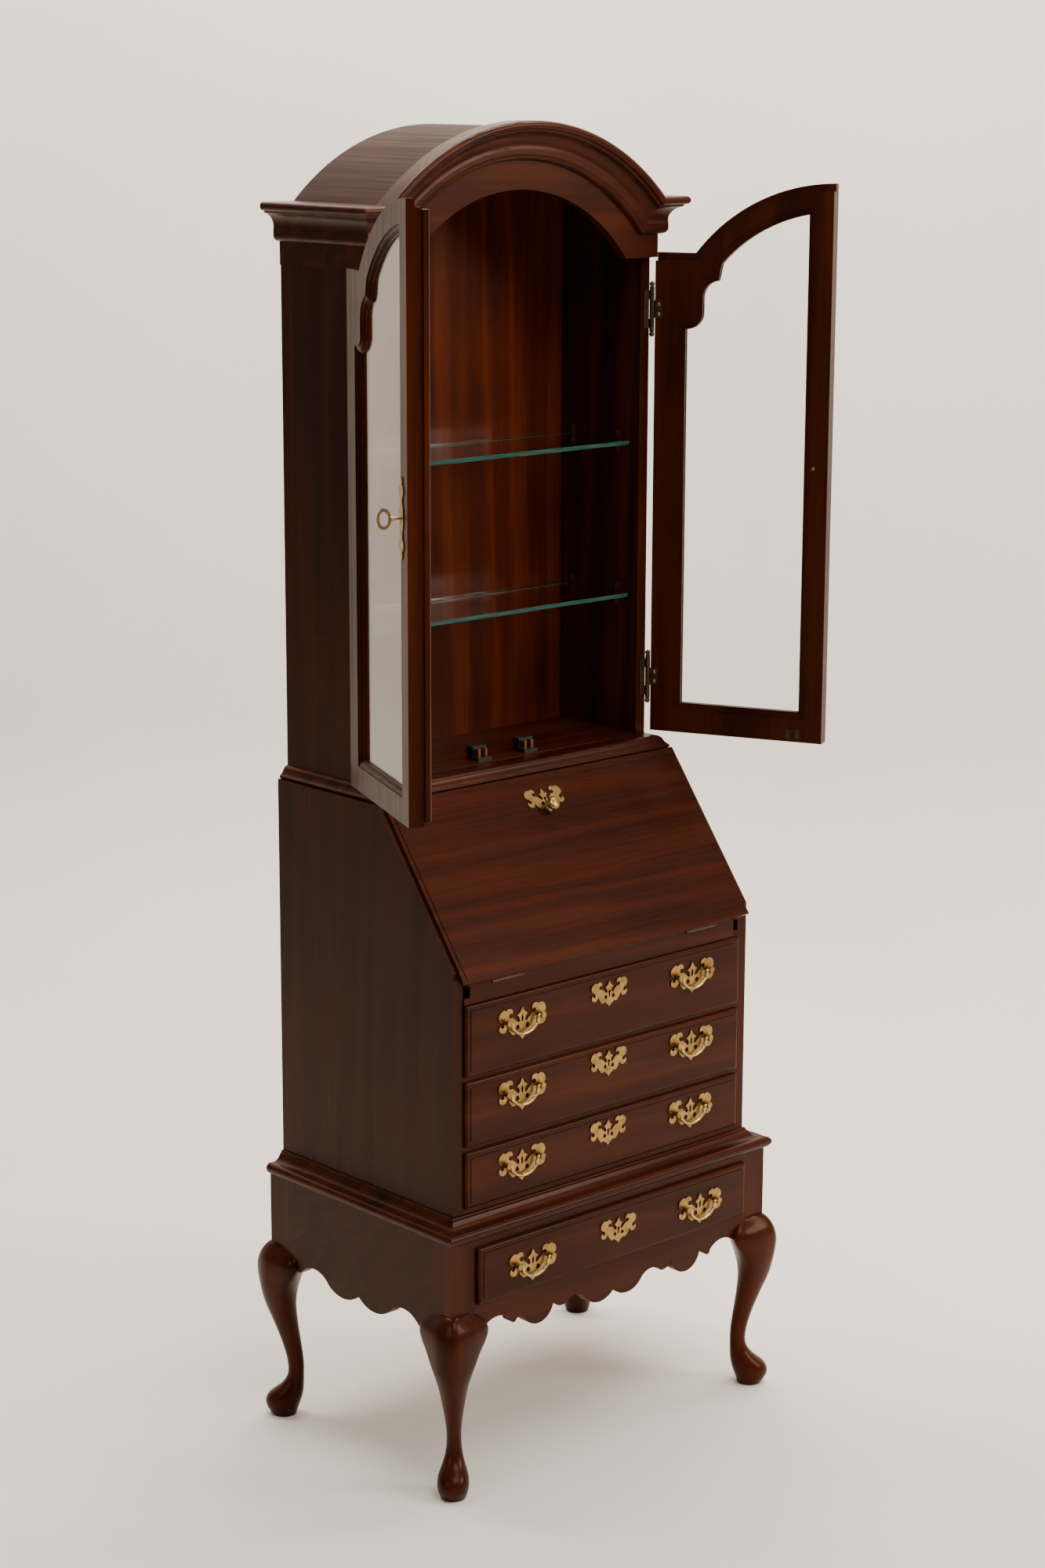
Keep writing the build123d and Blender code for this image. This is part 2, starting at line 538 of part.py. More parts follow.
def bookcase():
    wall_in = FLOOR_HALF
    vault_in = VAULT_R - VAULT_T
    front = at(BOOKCASE_DEPTH)
    side = prism("y", front, BACK, (wall_in, CASE_TOP), (BOOKCASE_HALF, CASE_TOP),
                 (BOOKCASE_HALF, on_arch(vault_in, BOOKCASE_HALF)),
                 arch_arc(vault_in, BOOKCASE_HALF, wall_in))
    save("bookcase_side_right", side)
    save("bookcase_side_left", mirror(side, Plane.YZ))
    save("bookcase_back", prism("y", at(12.0), at(4.0), (wall_in, CASE_TOP),
                                (wall_in, on_arch(vault_in, wall_in)),
                                arch_arc(vault_in, wall_in, -wall_in), (-wall_in, CASE_TOP)))
    end = BOOKCASE_HALF
    save("roof_vault", prism("y", front, BACK, (end, on_arch(VAULT_R, end)), arch_arc(VAULT_R, end, -end),
                             (-end, on_arch(vault_in, end)), arch_arc(vault_in, -end, end)))
    inner_x = math.sqrt(FASCIA_R**2 - (FASCIA_BOTTOM - ARCH_Z)**2)
    end = FASCIA_HALF
    save("arch_fascia", prism("y", at(BOOKCASE_DEPTH + FASCIA_T), front, (end, FASCIA_BOTTOM),
                              (end, on_arch(VAULT_R, end)), arch_arc(VAULT_R, end, -end),
                              (-end, FASCIA_BOTTOM),
                              (-inner_x, FASCIA_BOTTOM), arch_arc(FASCIA_R, -inner_x, inner_x)))
    crown()
    waist = [(0.0, CASE_TOP), (0.0, 989.5), ((3.0, 988.5), (7.0, 985.0)), ((10.0, 979.5), (14.5, 975.5)),
             (15.0, 973.5), (13.0, CASE_TOP)]
    base_depth = BOOKCASE_DEPTH + 25.0
    fill = box(-BOOKCASE_HALF, BOOKCASE_HALF, at(base_depth), front, CASE_TOP, 989.5)
    save("waist_moulding", *mitred(waist, BOOKCASE_HALF, at(base_depth), BACK), fill)
    shelf_tops = (1431.0, 1203.0)
    shelves, clips = [], []
    for z in shelf_tops:
        half = wall_in - CLIP_T - GAP
        shelf = box(-half, half, at(162.0), at(12.5), z - SHELF_T, z)
        shelves.append(shelf - box(-half, half, at(36.0), at(32.0), z - 1.0, z))
        for depth in (40.0, 137.0):
            y0, y1 = at(depth + 4.5), at(depth - 4.5)
            tab = box(wall_in - 10.0, wall_in, y0, y1, z - SHELF_T - 2.5, z - SHELF_T)
            tab += box(wall_in - CLIP_T, wall_in, y0, y1, z - 20.0, z + 9.0)
            tab += rod("x", 4.5, wall_in - CLIP_T, wall_in, at(depth), z + 9.0)
            clips += both_sides(tab)
    save("glass_shelves", *shelves)
    save("shelf_clips", *clips)
    block = box(CATCH_X - 13.0, CATCH_X + 13.0, at(162.0), at(148.0), FLOOR_TOP, FLOOR_TOP + 20.0)
    foot = box(CATCH_X - 13.0, CATCH_X + 13.0, at(174.0), at(162.0), FLOOR_TOP, FLOOR_TOP + 5.0)
    catches = [block + foot]
    for x in (CATCH_X - 6.5, CATCH_X + 6.5):
        catches.append(rod("z", 3.2, FLOOR_TOP + 5.0, FLOOR_TOP + 17.0, x, at(167.0)))
    save("door_catches", *[piece for part in catches for piece in both_sides(part)])


def crown():
    """Crown moulding: short level runs with returns, and the same profile turned over the arch."""
    low, high = 1733.0, 1788.0
    profile = [(0.0, high), (0.0, low), (4.3, low + 1.0), ((9.0, low + 4.0), (10.8, low + 10.0)),
               (10.8, low + 16.0), ((14.5, low + 33.0), (25.5, low + 40.0)), (27.0, low + 43.0),
               ((33.5, low + 48.0), (28.0, high))]
    plane_depth = BOOKCASE_DEPTH + FASCIA_T
    front_run, *returns = mitred(profile, FASCIA_HALF, at(plane_depth), BACK)
    # The mitre line of arch and level run goes through their shared lower and upper corners.
    foot_r = 302.0
    foot_x = math.sqrt(foot_r**2 - (low - ARCH_Z)**2)
    head_x = math.sqrt((foot_r + high - low)**2 - (high - ARCH_Z)**2)
    lean = (head_x - foot_x) / (high - low)
    base_x = foot_x - lean * (low - ARCH_Z)
    peak_x = foot_x + lean * (1950.0 - low)
    wedge = prism("y", at(plane_depth + 60.0), at(plane_depth), (base_x, ARCH_Z), (peak_x, 1950.0),
                  (-peak_x, 1950.0), (-base_x, ARCH_Z))

    def over_arch(out, z):
        return (0.0, at(plane_depth + out), ARCH_Z + foot_r + z - low)

    ring = revolve(outline(over_arch, *profile), Axis((0, 0, ARCH_Z), (0, 1, 0)))
    cap = box(240.0, FASCIA_HALF, at(plane_depth), BACK, high - 4.0, high) - rod(
        "y", VAULT_R, at(plane_depth), BACK, 0.0, ARCH_Z)
    strip = box(BOOKCASE_HALF, FASCIA_HALF, at(BOOKCASE_DEPTH), BACK, 1701.0, on_arch(VAULT_R, BOOKCASE_HALF))
    save("crown_moulding", ring & wedge, front_run - wedge, *returns, *both_sides(cap), *both_sides(strip))


# ---------------------------------------------------------------- doors
HINGE_ZS = (1624.0, 1076.0)
KEY_S = 247.0                     # from a door's hinge edge to its keyhole
KEY_Z = 1401.0
STILE = 46.0                      # width of the hinge stile
FREE_STILE_S = 232.0
RAIL_TOP = 1038.0
# The moulding round the glass: how much wider than the opening, and how deep from each face.
STICKING = ((9.5, 1.6), (6.5, 2.3), (4.0, 3.6), (2.0, 5.2))


def door_x(s):
    """X of a point on the right door, this far from its hinge edge."""
    return DOOR_EDGE - s


def door_blank(shoulder, radius, depth0, depth1):
    """Arched slab of the right door."""
    shoulder_x = math.sqrt(radius**2 - (shoulder - ARCH_Z)**2)
    return prism("y", at(depth1), at(depth0), (DOOR_EDGE, DOOR_BOTTOM), (DOOR_EDGE, shoulder),
                 (shoulder_x, shoulder), arch_arc(radius, shoulder_x, DOOR_GAP), (DOOR_GAP, DOOR_BOTTOM))


def sight_opening(front, rear, wider=0.0):
    """The shaped opening of the right door that the glass shows through, between two depths."""
    inner, outer = door_x(FREE_STILE_S), door_x(STILE)
    top_x = door_x(101.0)
    shape = outline(lambda x, z: (x, at(front), z),
                    (outer, RAIL_TOP), (outer, 1596.0), (door_x(48.0), 1596.0),
                    ((door_x(65.0), 1603.0), (door_x(72.0), 1620.0)), (door_x(72.0), 1641.0),
                    ((door_x(78.7), 1658.6), (door_x(95.5), 1667.0)), (top_x, on_arch(227.0, top_x)),
                    arch_arc(227.0, top_x, inner), (inner, RAIL_TOP))
    if wider:
        shape = offset(shape, amount=wider, kind=Kind.INTERSECTION)
    return extrude(shape, amount=front - rear, dir=(0, 1, 0))


def pane():
    """Glass of the right door, a little larger than the opening, in a groove round it."""
    inner, outer, shoulder = door_x(FREE_STILE_S + 4.0), door_x(STILE - 4.0), door_x(92.0)
    return prism("y", at(199.0), at(195.0), (outer, RAIL_TOP - 4.0), (outer, 1600.0), (door_x(66.0), 1645.0),
                 (shoulder, on_arch(231.0, shoulder)), arch_arc(231.0, shoulder, inner),
                 (inner, RAIL_TOP - 4.0))


def door_frame():
    """Stiles, bottom rail and arched top rail of the right door."""
    ring = door_blank(1706.0, 268.0, DOOR_REBATE, DOOR_OUTER)
    ring += door_blank(1694.5, 257.0, DOOR_INNER, DOOR_REBATE)
    ring = ring - sight_opening(DOOR_OUTER, DOOR_INNER) - pane()
    for wider, deep in STICKING:
        ring -= sight_opening(DOOR_OUTER, DOOR_OUTER - deep, wider)
        ring -= sight_opening(DOOR_INNER + deep, DOOR_INNER, wider)
    inner, outer = door_x(FREE_STILE_S), door_x(STILE)
    y0, y1 = at(DOOR_OUTER + 1.0), at(DOOR_INNER - 1.0)
    cuts = [
        box(outer, DOOR_EDGE, y0, y1, DOOR_BOTTOM, 1850.0),
        box(0.0, inner, y0, y1, DOOR_BOTTOM, 1850.0),
        box(inner, outer, y0, y1, DOOR_BOTTOM, RAIL_TOP),
        box(inner, outer, y0, y1, RAIL_TOP + 20.0, 1850.0),
    ]
    return [ring & cut for cut in cuts]


def hinge_leaf():
    """The door's half of its two hinges, closed: middle knuckle and leaf on the inner face."""
    pieces = []
    for z in HINGE_ZS:
        _, centre, _, bore = knuckles("z", 3.7, 1.8, 33.0, 13.5, PIN_X, at(PIN_DEPTH), z)
        leaf = box(DOOR_EDGE - 12.0, PIN_X, at(DOOR_INNER), at(DOOR_INNER - 1.6), z - 13.2, z + 13.2)
        pieces.append(centre + leaf - bore)
    return pieces


def case_leaf():
    """The case's half of the right door's two hinges: end knuckles, pin, finials and leaf."""
    pieces = []
    front = at(BOOKCASE_DEPTH)
    for z in HINGE_ZS:
        ends, _, shaft, _ = knuckles("z", 3.7, 1.8, 33.0, 13.5, PIN_X, at(PIN_DEPTH), z)
        leaf = box(BOOKCASE_HALF - 12.0, PIN_X, front - 1.6, front, z - 27.5, z + 27.5)
        leaf -= box(DOOR_EDGE - 2.0, PIN_X, front - 1.6, front, z - 14.0, z + 14.0)
        finials = [Pos(PIN_X, at(PIN_DEPTH), z + up) * Sphere(4.0) for up in (-36.5, 36.5)]
        pieces.append(leaf + ends + shaft + finials[0] + finials[1])
    return pieces


def long_plate():
    """Tall escutcheon with shaped ends, lying on Z = 0 with its keyhole at the origin."""
    half = 54.5
    right = [((4.0, 50.0), (3.0, 44.0)), ((9.5, 36.0), (5.0, 28.0)), ((4.0, 20.0), (7.0, 13.0)),
             ((8.5, 0.0), (7.0, -13.0)), ((4.0, -20.0), (5.0, -28.0)), ((9.5, -36.0), (3.0, -44.0)),
             ((4.0, -50.0), (0.0, -half))]
    starts = [(0.0, half)] + [end for _, end in right[:-1]]
    mirrored = [((-middle[0], middle[1]), (-begin[0], begin[1])) for begin, (middle, _) in zip(starts, right)]
    return prism("z", 0.0, 1.5, (0.0, half), *right, *mirrored[::-1]) - keyhole(0.0, 1.5)


def strike(x):
    """Plate and tongue on the door's inner face that snap between a catch's rollers."""
    plate = box(x - 10.5, x + 10.5, at(DOOR_INNER), at(DOOR_INNER - 1.5), 998.0, 1012.0)
    return plate + box(x - 1.0, x + 1.0, at(DOOR_INNER), at(167.0), 1000.0, 1009.0)


def opened(piece, side):
    """Turn a closed door's piece to its open angle; side is 1 for the right door, -1 for the left."""
    angle = RIGHT_OPEN if side == 1 else -LEFT_OPEN
    pin = Pos(side * PIN_X, at(PIN_DEPTH), 0)
    return pin * Rot(0, 0, angle) * Pos(-side * PIN_X, -at(PIN_DEPTH), 0) * piece


def doors():
    key_x = door_x(KEY_S)
    hole = on_front(rod("z", 3.0, 0.0, DOOR_OUTER - DOOR_INNER, 0.0, 0.0), key_x, DOOR_INNER, KEY_Z)
    plate = on_front(long_plate(), key_x, DOOR_OUTER, KEY_Z)
    frame = door_frame()
    save("door_right", *[opened(piece - hole, 1) for piece in frame])
    save("door_right_glass", opened(pane(), 1))
    save("door_right_leaves", *[opened(piece, 1) for piece in hinge_leaf() + [strike(CATCH_X)]])
    save("door_right_brass", opened(plate, 1))

    # The left door also has a lock let into its free edge, a key, and the rounded overlap strip.
    lock = box(DOOR_GAP + 2.5, door_x(236.0), at(202.0), at(190.0), KEY_Z - 38.0, KEY_Z + 38.0)
    room = on_front(rod("z", 9.0, 0.0, 4.0, 0.0, 0.0), key_x, 193.0, KEY_Z)
    bore = on_front(rod("z", 2.05, -12.0, 12.0, 0.0, 0.0), key_x, 196.0, KEY_Z)
    strip = prism("z", 1001.0, 1795.0, (15.25, at(185.4)), (15.25, at(179.0)), (13.0, at(177.0)),
                  (-2.5, at(177.0)), (-4.75, at(179.0)), (-4.75, at(185.4)))
    strip += box(2.0, 15.25, at(DOOR_INNER), at(185.4), 1001.0, 1795.0)
    pieces = [mirror(piece - hole - lock, Plane.YZ) for piece in frame] + [mirror(strip, Plane.YZ)]
    save("door_left", *[opened(piece, -1) for piece in pieces])
    save("door_left_glass", opened(mirror(pane(), Plane.YZ), -1))
    leaves = hinge_leaf() + [strike(CATCH_X)]
    save("door_left_leaves", *[opened(mirror(piece, Plane.YZ), -1) for piece in leaves])
    save("door_left_brass", *[opened(mirror(piece, Plane.YZ), -1) for piece in (plate, lock - room - bore)])
    save("key", opened(mirror(key(key_x), Plane.YZ), -1))


def key(x):
    """Key in the lock: shank, collar, oval bow and bit."""
    bow_depth = DOOR_OUTER + 25.0
    shank = rod("y", 2.0, at(DOOR_OUTER + 16.0), at(192.0), x, KEY_Z)
    collar = rod("y", 3.6, at(DOOR_OUTER + 16.0), at(DOOR_OUTER + 12.0), x, KEY_Z)
    bow = Pos(x, at(bow_depth), KEY_Z) * Rot(0, 90, 0) * (Ellipse(14.0, 10.0) - Ellipse(9.5, 6.0))
    bit = box(x - 1.2, x + 1.2, at(196.0), at(193.8), KEY_Z - 7.5, KEY_Z)
    return shank + collar + extrude(bow, amount=1.5, both=True) + bit


os.makedirs("parts", exist_ok=True)
stand()
case()
writing_surface()
gallery()
fixed_leaves = fall()
drawers()
bookcase()
save("fixed_hinge_leaves", *fixed_leaves, *[leaf for piece in case_leaf() for leaf in both_sides(piece)])
doors()
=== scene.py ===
import json
import math

import bmesh
import bpy
from mathutils import Matrix, Vector


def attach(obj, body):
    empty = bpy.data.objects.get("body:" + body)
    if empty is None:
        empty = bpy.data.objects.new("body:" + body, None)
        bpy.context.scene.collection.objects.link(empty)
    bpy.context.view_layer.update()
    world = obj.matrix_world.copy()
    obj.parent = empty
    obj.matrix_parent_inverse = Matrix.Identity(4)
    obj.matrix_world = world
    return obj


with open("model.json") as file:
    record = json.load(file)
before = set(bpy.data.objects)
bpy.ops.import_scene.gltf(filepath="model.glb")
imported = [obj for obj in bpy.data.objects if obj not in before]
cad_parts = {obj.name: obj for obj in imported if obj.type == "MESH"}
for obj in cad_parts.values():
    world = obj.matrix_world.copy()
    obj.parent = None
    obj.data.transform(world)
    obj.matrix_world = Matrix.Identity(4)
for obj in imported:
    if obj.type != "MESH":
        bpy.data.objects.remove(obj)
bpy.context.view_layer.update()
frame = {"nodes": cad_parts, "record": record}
NODES = frame["nodes"]
SLOTS = {part["node"]: part["material_slot"] for part in frame["record"]["subparts"]}
WOODEN = {node for node, slot in SLOTS.items() if "wood" in slot}
METAL = {node for node, slot in SLOTS.items() if slot in ("brass", "dark_bronze")}

# Sockets of the mix node that its RGBA setting uses.
MIX_FACTOR, MIX_FIRST, MIX_SECOND, MIX_RESULT = 0, 6, 7, 2
EVEN = (1, 1, 1)                  # texture scale that favours no direction


# ---------------------------------------------------------------- shader helpers
class Shader:
    """A material under construction: adds nodes, links them and sets plain values."""

    def __init__(self, name):
        self.material = bpy.data.materials.new(name)
        self.material.use_nodes = True
        self.tree = self.material.node_tree
        self.surface = self.tree.nodes["Principled BSDF"]

    def set(self, **values):
        for name, value in values.items():
            self.surface.inputs[name.replace("_", " ")].default_value = value

    def add(self, kind, inputs=None, **attributes):
        node = self.tree.nodes.new(kind)
        for name, value in attributes.items():
            setattr(node, name, value)
        for name, value in (inputs or {}).items():
            socket = node.inputs[name]
            if isinstance(value, bpy.types.NodeSocket):
                self.tree.links.new(value, socket)
            else:
                socket.default_value = value
        return node.outputs

    def link(self, output, name):
        self.tree.links.new(output, self.surface.inputs[name])

    def place(self, scale, shift=(0.0, 0.0, 0.0)):
        """The piece's own coordinates, scaled along each axis and then shifted."""
        spot = self.add("ShaderNodeTexCoord")["Object"]
        values = {"Vector": spot, "Scale": scale, "Location": shift}
        return self.add("ShaderNodeMapping", values)["Vector"]

    def noise(self, where, scale, detail, rough, distort=0.0):
        values = {"Vector": where, "Scale": scale, "Detail": detail, "Roughness": rough,
                  "Distortion": distort}
        return self.add("ShaderNodeTexNoise", values)["Fac"]

    def ramp(self, factor, *stops):
        """Colours that follow a factor, each stop being a position and a colour."""
        node = self.tree.nodes.new("ShaderNodeValToRGB")
        elements = node.color_ramp.elements
        while len(elements) < len(stops):
            elements.new(0.5)
        for element, (position, colour) in zip(elements, stops):
            element.position = position
            element.color = (*colour, 1.0)
        self.tree.links.new(factor, node.inputs["Fac"])
        return node.outputs["Color"]

    def mix(self, factor, first, second):
        """Two colours mixed; each value is a plain one or another node's output."""
        node = self.tree.nodes.new("ShaderNodeMix")
        node.data_type = "RGBA"
        for index, value in ((MIX_FACTOR, factor), (MIX_FIRST, first), (MIX_SECOND, second)):
            if isinstance(value, bpy.types.NodeSocket):
                self.tree.links.new(value, node.inputs[index])
            elif index == MIX_FACTOR:
                node.inputs[index].default_value = value
            else:
                node.inputs[index].default_value = (*value, 1.0)
        return node.outputs[MIX_RESULT]

    def span(self, factor, low, high, from_low=0.0, from_high=1.0):
        """A factor between from_low and from_high stretched to run from low to high."""
        values = {"Value": factor, "From Min": from_low, "From Max": from_high,
                  "To Min": low, "To Max": high}
        return self.add("ShaderNodeMapRange", values)["Result"]

    def math(self, operation, first, second=0.0):
        return self.add("ShaderNodeMath", {0: first, 1: second}, operation=operation)["Value"]

    def bump(self, height, strength, distance):
        values = {"Height": height, "Strength": strength, "Distance": distance}
        self.link(self.add("ShaderNodeBump", values)["Normal"], "Normal")


# ---------------------------------------------------------------- materials
MAHOGANY = ((0.0110, 0.0014, 0.0005), (0.0290, 0.0043, 0.0012), (0.0660, 0.0125, 0.0032))
PORE = (0.005, 0.0014, 0.0008)
GRAIN_STRETCH = 0.055             # texture scale along the grain, against 1 across it
FIBRE_STRETCH = 0.018             # the same for streaks and pores
PLAIN_STRETCH = 0.05              # and for the secondary wood
VARNISH_IOR = 1.46
GLASS_IOR = 1.46
ROLLER_FRONT = 0.0526             # a catch is copper roller in front of this y
ROLLER_FOOT = 0.9962              # and above this z


def along_grain(grain, scale):
    """Texture scale of a board: the given one along its grain, 1 across it."""
    return tuple(scale if axis == grain else 1 for axis in "xyz")


def polished_wood(name, grain, shift, tone_and_painted_shade=1.0, gloss=0.27, coat=0.06):
    """Mahogany: figure, growth bands, pores and a waxed varnish that lies over them."""
    shader = Shader(name)
    # a tone below 1 darkens some boards' colour as painted shade
    dark, mid, light = [tuple(tone_and_painted_shade * part for part in colour) for colour in MAHOGANY]
    along = shader.place(along_grain(grain, GRAIN_STRETCH), shift)
    fibres = shader.place(along_grain(grain, FIBRE_STRETCH), shift)
    figure = shader.noise(along, scale=16.0, detail=3.0, rough=0.55, distort=0.9)
    growth = {"Vector": along, "Scale": 9.0, "Distortion": 9.0, "Detail": 3.0,
              "Detail Scale": 1.6, "Detail Roughness": 0.6}
    bands = shader.add("ShaderNodeTexWave", growth,
                       wave_type="BANDS", bands_direction="DIAGONAL")["Fac"]
    streaks = shader.noise(fibres, scale=210.0, detail=3.0, rough=0.6)
    pores = shader.noise(fibres, scale=900.0, detail=1.0, rough=0.5)
    clouds = shader.noise(shader.place(EVEN, shift), scale=3.2, detail=2.0, rough=0.5)
    colour = shader.ramp(figure, (0.25, dark), (0.52, mid), (0.80, light))
    banded = shader.ramp(bands, (0.0, dark), (0.55, mid), (1.0, light))
    colour = shader.mix(0.38, colour, banded)
    colour = shader.mix(shader.span(streaks, 0.0, 0.40, from_low=0.35, from_high=0.75),
                        colour, dark)
    colour = shader.mix(shader.span(clouds, 0.0, 0.32, from_low=0.40, from_high=0.70),
                        colour, light)
    pore_mask = shader.span(pores, 1.0, 0.0, from_low=0.30, from_high=0.40)
    colour = shader.mix(shader.span(pore_mask, 0.0, 0.45), colour, PORE)
    shader.link(colour, "Base Color")
    roughness = shader.span(streaks, gloss, gloss + 0.14, from_low=0.3, from_high=0.7)
    shader.link(roughness, "Roughness")
    shader.set(Coat_Weight=coat, Coat_Roughness=0.10, IOR=VARNISH_IOR, Specular_IOR_Level=0.15,
               Specular_Tint=(1.0, 0.50, 0.30, 1.0), Coat_Tint=(1.0, 0.80, 0.66, 1.0))
    shader.bump(shader.math("ADD", streaks, pores), strength=0.12, distance=0.0006)
    return shader.material


def plain_wood(name, grain, shift):
    """Unpolished secondary wood of backs, runners and linings."""
    shader = Shader(name)
    along = shader.place(along_grain(grain, PLAIN_STRETCH), shift)
    figure = shader.noise(along, scale=26.0, detail=4.0, rough=0.6, distort=0.6)
    fibre = shader.noise(along, scale=420.0, detail=2.0, rough=0.6)
    colour = shader.ramp(figure, (0.25, (0.085, 0.034, 0.014)), (0.75, (0.20, 0.090, 0.040)))
    colour = shader.mix(shader.span(fibre, 0.0, 0.5, from_low=0.4, from_high=0.7),
                        colour, (0.06, 0.022, 0.010))
    shader.link(colour, "Base Color")
    shader.link(shader.span(fibre, 0.55, 0.75), "Roughness")
    shader.bump(fibre, strength=0.25, distance=0.0006)
    return shader.material


def brass(name, base, tarnish, amount, rough):
    """Lacquered brass or bronze with browner hollows and fine rubbed scratches."""
    shader = Shader(name)
    spot = shader.place(EVEN)
    patches = shader.noise(spot, scale=95.0, detail=5.0, rough=0.65)
    fine = shader.noise(spot, scale=1500.0, detail=2.0, rough=0.5)
    hollow = shader.add("ShaderNodeAmbientOcclusion", {"Distance": 0.004}, samples=8)["AO"]
    colour = shader.mix(shader.span(patches, 0.0, amount, from_low=0.42, from_high=0.72),
                        base, tarnish)
    colour = shader.mix(shader.span(hollow, 0.75, 0.0, from_low=0.35, from_high=0.9),
                        colour, tarnish)
    shader.link(colour, "Base Color")
    roughness = shader.span(patches, rough, rough + 0.2, from_low=0.35, from_high=0.7)
    shader.link(roughness, "Roughness")
    shader.set(Metallic=1.0)
    shader.bump(fine, strength=0.10, distance=0.0002)
    return shader.material


def clear_glass(name):
    """Sheet glass of the doors, slightly wavy."""
    shader = Shader(name)
    waves = shader.noise(shader.place(EVEN), scale=7.0, detail=1.0, rough=0.4)
    tint = shader.ramp(waves, (0.3, (0.955, 0.975, 0.965)), (0.7, (0.97, 0.98, 0.975)))
    shader.link(tint, "Base Color")
    shader.set(Transmission_Weight=1.0, IOR=GLASS_IOR, Roughness=0.0)
    shader.bump(waves, strength=0.02, distance=0.002)
    return shader.material


def shelf_glass(name):
    """Sheet glass of the shelves: clear through the face, green on the upright edges."""
    shader = Shader(name)
    normal = shader.add("ShaderNodeNewGeometry")["Normal"]
    rise = shader.add("ShaderNodeSeparateXYZ", {"Vector": normal})["Z"]
    edge = shader.span(shader.math("ABSOLUTE", rise), 1.0, 0.0, from_low=0.3, from_high=0.6)
    streaks = shader.noise(shader.place((12, 12, 300)), scale=2.0, detail=2.0, rough=0.5)
    green = shader.ramp(streaks, (0.35, (0.012, 0.045, 0.036)), (0.7, (0.035, 0.11, 0.088)))
    shader.link(shader.mix(edge, (0.93, 0.975, 0.955), green), "Base Color")
    shader.link(shader.span(edge, 1.0, 0.15), "Transmission Weight")
    shader.link(shader.span(edge, 0.0, 0.12), "Roughness")
    shader.set(IOR=GLASS_IOR)
    return shader.material


def roller_catch(name):
    """Black housings with copper rollers in front of them and above their feet."""
    shader = Shader(name)
    own_place = shader.add("ShaderNodeTexCoord")["Object"]
    spot = shader.add("ShaderNodeSeparateXYZ", {"Vector": own_place})
    before = shader.math("LESS_THAN", spot["Y"], ROLLER_FRONT)
    above = shader.math("GREATER_THAN", spot["Z"], ROLLER_FOOT)
    roller = shader.math("MULTIPLY", before, above)
    grain = shader.noise(shader.place(EVEN), scale=900.0, detail=3.0, rough=0.6)
    turned = shader.noise(shader.place((1, 1, 40)), scale=60.0, detail=2.0, rough=0.6)
    black = shader.ramp(grain, (0.3, (0.006, 0.006, 0.006)), (0.7, (0.016, 0.016, 0.016)))
    copper = shader.ramp(turned, (0.3, (0.20, 0.060, 0.028)), (0.7, (0.52, 0.20, 0.10)))
    shader.link(shader.mix(roller, black, copper), "Base Color")
    shader.link(roller, "Metallic")
    shader.link(shader.span(grain, 0.34, 0.5), "Roughness")
    shader.bump(grain, strength=0.15, distance=0.0003)
    return shader.material


def dress(names, material):
    """Give each named piece one material in place of whatever it has."""
    for name in names:
        mesh = NODES[name].data
        mesh.materials.clear()
        mesh.materials.append(material)


# Polished boards by the direction of their grain.
BOARDS = {
    "z": ("case_side_left", "case_side_right", "bookcase_side_left", "bookcase_side_right",
          "bookcase_back", "leg_front_left", "leg_front_right", "leg_back_left",
          "leg_back_right"),
    "x": ("front_apron", "side_and_back_aprons", "stand_top_rail", "stand_moulding",
          "case_bottom_and_dust_boards", "loper_rail", "writing_board",
          "case_top_and_bookcase_floor", "gallery", "gallery_drawer_left",
          "gallery_drawer_right", "fall_board", "drawer_1", "drawer_2", "drawer_3",
          "stand_drawer", "arch_fascia", "crown_moulding", "waist_moulding"),
    "y": ("loper_left", "loper_right", "roof_vault"),
}
# Boards whose colour or polish differs from the rest; a tone below 1 is painted shade on
# boards that face away from the lights.
FINISHES_AND_PAINTED_SHADE = {
    "bookcase_back": {"tone_and_painted_shade": 2.2},
    "fall_board": {"gloss": 0.22, "coat": 0.25},
    # painted shade: the vault's top is darkened in its colour; its rougher, uncoated polish
    # only changes roughness
    "roof_vault": {"tone_and_painted_shade": 0.6, "gloss": 0.50, "coat": 0.0},
    # painted shade: the left sides and the left and back aprons are darkened in their colour,
    # where the lights leave them in shade
    "case_side_left": {"tone_and_painted_shade": 0.6},
    "bookcase_side_left": {"tone_and_painted_shade": 0.6},
    "side_and_back_aprons": {"tone_and_painted_shade": 0.6},
}


def wood_everywhere():
    """Every board gets grain along its length and its own place in the figure."""
    for grain, names in BOARDS.items():
        for index, name in enumerate(names):
            shift = (0.37 * index, 0.61 * index + 1.3, 0.23 * index + 2.1)
            finish_and_painted_shade = FINISHES_AND_PAINTED_SHADE.get(name, {})
            dress([name], polished_wood(f"mahogany_{name}", grain, shift, **finish_and_painted_shade))
    for index, name in enumerate(("door_left", "door_right")):
        shift = (0.5 * index, 3.0, 1.0 + index)
        dress([name], polished_wood(f"mahogany_{name}", "z", shift))
    for name, grain in (("drawer_runners", "y"), ("case_back", "z")):
        dress([name], plain_wood(f"plain_{name}", grain, (0.4, 0.2, 0.9)))


def metal_everywhere(plates, polished, bronze):
    """Plates, brighter bails and key, and the dark leaves of the hinges."""
    for node, slot in SLOTS.items():
        if node in METAL:
            bright = "bail" in node or node == "key"
            dress([node], bronze if slot == "dark_bronze" else polished if bright else plates)


ROUNDED = 0.0009                  # how much the arrises of boards are eased
FILED = 0.00035                   # and the edges of brass plates
EASED_ABOVE = math.radians(40)    # only edges sharper than this are eased
SMOOTH_BELOW = math.radians(32)   # and surfaces that turn by less look smooth


